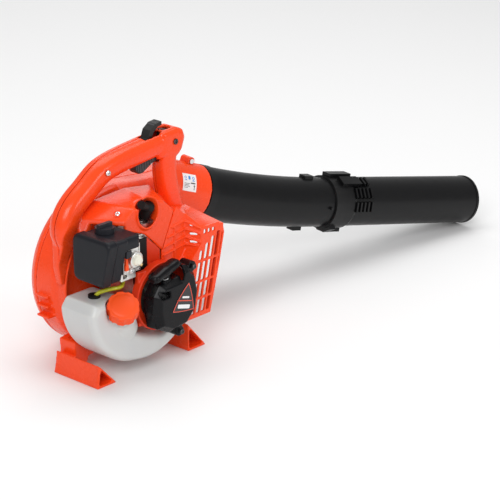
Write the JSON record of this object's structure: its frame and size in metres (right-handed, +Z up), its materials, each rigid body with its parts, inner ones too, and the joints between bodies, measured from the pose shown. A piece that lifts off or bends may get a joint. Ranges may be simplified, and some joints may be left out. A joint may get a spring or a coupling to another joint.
{
  "type": "handheld leaf blower",
  "caption": "Handheld petrol leaf blower: fan scroll with loop handle, small two-stroke engine, recoil starter, crescent fuel tank and a bent two-piece blower pipe.",
  "frame": {"origin": "on the ground under the middle of the bounding box, with both feet standing on the ground", "axes": "+X forward along the blower pipe, +Y towards the fan side and away from the recoil starter, +Z up"},
  "size_m": [0.8486, 0.2077, 0.305],
  "materials": {
    "housing_orange": "satin gloss",
    "cap_orange": "satin",
    "pipe_black": "satin",
    "starter_black": "semi gloss",
    "intake_black": "satin",
    "control_black": "matte",
    "boot_rubber": "matte",
    "impeller_plastic": "matte",
    "tank_plastic": "translucent satin",
    "hose_yellow": "satin",
    "rope": "braided",
    "label_white": "printed",
    "badge_black": "printed",
    "cast_metal": "cast",
    "muffler_metal": "heat stained",
    "steel": "machined",
    "bulb_clear": "clear",
    "filter_foam": "open foam"
  },
  "bodies": {
    "machine": {"air_cleaner_base": "intake_black", "air_filter": "filter_foam", "carburetor_body": "cast_metal", "connecting_rod": "steel", "crankcase": "cast_metal", "cylinder": "cast_metal", "elbow_pipe": "pipe_black", "engine_cover": "housing_orange", "fan_case": "housing_orange", "fan_cover": "housing_orange", "fuel_filter": "filter_foam", "fuel_grommet": "boot_rubber", "fuel_hose": "hose_yellow", "fuel_tank": "tank_plastic", "handle_left": "housing_orange", "handle_right": "housing_orange", "heat_shield": "muffler_metal", "housing_screws": "steel", "ignition_coil": "steel", "instruction_label": "label_white", "intake_grille": "housing_orange", "intake_insulator": "intake_black", "main_bearings": "steel", "mixture_limiter": "cap_orange", "muffler": "muffler_metal", "outlet_clamp": "housing_orange", "outlet_clamp_screw": "steel", "piston": "cast_metal", "piston_pin": "steel", "pivot_pins": "steel", "rewind_spring": "steel", "spark_plug": "steel", "spark_plug_boot": "boot_rubber", "starter_badge": "badge_black", "starter_housing": "starter_black", "starter_screws": "steel", "starter_shroud": "housing_orange"},
    "crank_assembly": {"crankshaft": "steel", "flywheel": "cast_metal", "fan_impeller": "impeller_plastic", "fan_nut": "steel"},
    "starter_grip": {"starter_grip": "starter_black", "starter_rope_run": "rope"},
    "starter_pulley": {"starter_pulley": "starter_black", "starter_rope_wound": "rope"},
    "throttle_trigger": {"throttle_trigger": "control_black"},
    "throttle_lever": {"throttle_lever": "steel"},
    "cruise_lever": {"cruise_lever": "control_black"},
    "stop_switch": {"stop_switch": "control_black"},
    "choke_lever": {"choke_lever": "intake_black"},
    "primer_bulb": {"primer_bulb": "bulb_clear"},
    "cap_seal": {"fuel_cap_seal": "boot_rubber"},
    "fuel_cap": {"fuel_cap": "cap_orange"},
    "air_cleaner_knob": {"air_cleaner_knob": "intake_black"},
    "air_cleaner_cover": {"air_cleaner_cover": "intake_black"},
    "front_pipe": {"front_pipe": "pipe_black"}
  },
  "joints": [
    {"name": "crank_spin", "type": "hinge", "parent": "machine", "child": "crank_assembly", "pos_m": [-0.301, 0.004, 0.1], "axis": [0, 1, 0], "continuous": true},
    {"name": "starter_pull", "type": "slide", "parent": "machine", "child": "starter_grip", "axis": [-0.1993, -0.0797, 0.9767], "range_m": [0, 0.5], "stiffness_N_per_m": 12, "springref_m": -0.5, "deforming": ["starter_rope_run"]},
    {"name": "pulley_turn", "type": "hinge", "parent": "machine", "child": "starter_pulley", "pos_m": [-0.301, -0.082, 0.1], "axis": [0, 1, 0], "range_deg": [0, 1400]},
    {"name": "trigger_squeeze", "type": "hinge", "parent": "machine", "child": "throttle_trigger", "pos_m": [-0.229, 0.004, 0.263], "axis": [0, 1, 0], "range_deg": [0, 12], "stiffness_Nm_per_rad": 0.6, "springref_deg": -5.73},
    {"name": "throttle_open", "type": "hinge", "parent": "machine", "child": "throttle_lever", "pos_m": [-0.339, -0.054, 0.187], "axis": [0, 0, 1], "range_deg": [-40.5, 0.5]},
    {"name": "cruise_set", "type": "hinge", "parent": "machine", "child": "cruise_lever", "pos_m": [-0.251, 0.004, 0.283], "axis": [0, 1, 0], "range_deg": [-40, 0]},
    {"name": "stop_rock", "type": "hinge", "parent": "machine", "child": "stop_switch", "pos_m": [-0.218, 0.004, 0.285], "axis": [0, 1, 0], "range_deg": [-6, 6]},
    {"name": "choke_turn", "type": "hinge", "parent": "machine", "child": "choke_lever", "pos_m": [-0.37, -0.046, 0.173], "axis": [1, 0, 0], "range_deg": [0, 20]},
    {"name": "primer_press", "type": "slide", "parent": "machine", "child": "primer_bulb", "axis": [0, 1, 0], "range_m": [0, 0.0025], "stiffness_N_per_m": 800, "springref_m": -0.001},
    {"name": "cap_lift", "type": "slide", "parent": "machine", "child": "cap_seal", "axis": [-0.3778, -0.52, 0.766], "range_m": [0, 0.005]},
    {"name": "cap_turn", "type": "hinge", "parent": "cap_seal", "child": "fuel_cap", "pos_m": [-0.37373, -0.07288, 0.1004], "axis": [-0.3778, -0.52, 0.766], "range_deg": [0, 720]},
    {"name": "knob_turn", "type": "hinge", "parent": "machine", "child": "air_cleaner_knob", "pos_m": [-0.3755, -0.046, 0.203], "axis": [0, 0, 1], "range_deg": [0, 90]},
    {"name": "cover_slide", "type": "slide", "parent": "machine", "child": "air_cleaner_cover", "axis": [-1, 0, 0], "range_m": [0, 0.045]},
    {"name": "pipe_twist", "type": "hinge", "parent": "machine", "child": "front_pipe", "pos_m": [0.12491, 0.02309, 0.09732], "axis": [0.968, -0.1568, -0.1959], "range_deg": [-30, 0]}
  ],
  "couplings": [
    {"joint": "pulley_turn", "follows": "starter_pull", "rad_per_m": 46},
    {"joint": "throttle_open", "follows": "trigger_squeeze", "ratio": -3.33},
    {"joint": "cap_turn", "follows": "cap_lift", "rad_per_m": 2500}
  ]
}
